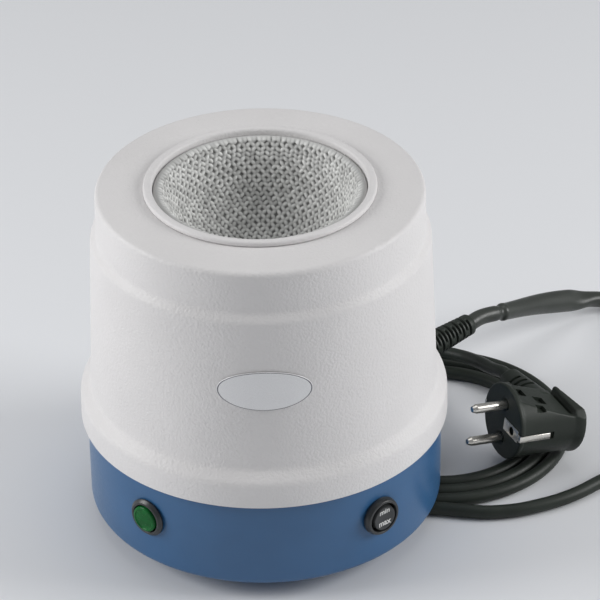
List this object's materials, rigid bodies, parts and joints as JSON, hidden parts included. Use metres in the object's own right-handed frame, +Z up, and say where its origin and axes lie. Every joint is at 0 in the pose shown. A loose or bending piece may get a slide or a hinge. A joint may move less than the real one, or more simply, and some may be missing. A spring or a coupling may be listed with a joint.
{
  "type": "laboratory heating mantle",
  "caption": "Round laboratory heating mantle with a knitted glass-fibre nest for a round-bottom flask, push button, min/max rocker and a coiled mains lead with an angled plug.",
  "frame": {"origin": "on the mantle's axis, at the bottom of its feet", "axes": "+Z up along the mantle's axis, -Y towards the front between the two controls, +X to the right seen from the front"},
  "size_m": [0.3198, 0.2649, 0.1816],
  "materials": {
    "white_coat": "white powder coat with a fine orange-peel texture",
    "badge_foil": "satin silver plate, bare",
    "blue_base": "smooth satin steel blue",
    "glass_knit": "silver-grey knitted glass-fibre yarn",
    "heater_alloy": "oxidised resistance wire",
    "mineral_wool": "pressed mineral wool",
    "aluminium": "bare spun sheet",
    "steel": "zinc-plated steel",
    "black_rubber": "black rubber and soft PVC",
    "green_lens": "translucent green lens",
    "black_plastic": "moulded black, semi-gloss",
    "brass": "bare brass",
    "ceramic": "unglazed steatite",
    "wire_brown": "brown silicone insulation",
    "wire_blue": "blue silicone insulation",
    "wire_earth": "green-yellow silicone insulation",
    "wire_white": "white glass-silk insulation",
    "nickel": "bright nickel plate"
  },
  "bodies": {
    "mantle": {"outer_housing": "white_coat", "collar_ring": "white_coat", "badge_plate": "badge_foil", "base_pan": "blue_base", "heating_nest": "glass_knit", "heater_winding": "heater_alloy", "insulation_bowl": "mineral_wool", "support_pot": "aluminium", "heat_shield": "aluminium", "upper_post_1": "steel", "upper_post_2": "steel", "upper_post_3": "steel", "lower_post_1": "steel", "lower_post_2": "steel", "lower_post_3": "steel", "foot_screw_1": "steel", "foot_screw_2": "steel", "foot_screw_3": "steel", "rubber_foot_1": "black_rubber", "rubber_foot_2": "black_rubber", "rubber_foot_3": "black_rubber", "button_bezel": "black_plastic", "button_nut": "black_plastic", "button_body": "black_plastic", "button_terminal_1": "brass", "button_terminal_2": "brass", "rocker_bezel": "black_plastic", "rocker_pin": "steel", "rocker_nut": "black_plastic", "rocker_body": "black_plastic", "rocker_terminal_1": "brass", "rocker_terminal_2": "brass", "rocker_terminal_3": "brass", "terminal_block": "ceramic", "terminal_clamp_1": "brass", "terminal_clamp_2": "brass", "terminal_clamp_3": "brass", "supply_live_wire": "wire_brown", "supply_neutral_wire": "wire_blue", "supply_earth_wire": "wire_earth", "button_wire": "wire_brown", "rocker_wire": "wire_brown", "nest_min_wire": "wire_white", "nest_max_wire": "wire_white", "nest_return_wire": "wire_blue", "gland_body": "black_plastic", "gland_nut": "black_plastic", "strain_relief": "black_rubber", "cord_sleeve": "black_rubber", "cord_lead": "black_rubber", "cord_coil": "black_rubber", "cord_tail": "black_rubber", "plug_body": "black_rubber", "plug_pin_upper": "nickel", "plug_pin_lower": "nickel", "plug_earth_clip_near": "nickel", "plug_earth_clip_far": "nickel"},
    "button": {"power_button": "green_lens"},
    "rocker": {"min_max_rocker": "black_plastic"}
  },
  "joints": [
    {"name": "button_press", "type": "slide", "parent": "mantle", "child": "button", "axis": [0.6428, 0.766, 0], "range_m": [0, 0.0018], "stiffness_N_per_m": 300},
    {"name": "rocker_tilt", "type": "hinge", "parent": "mantle", "child": "rocker", "pos_m": [0.05544, -0.06847, 0.0362], "axis": [0.7771, 0.6293, 0], "range_deg": [-9, 9]}
  ]
}
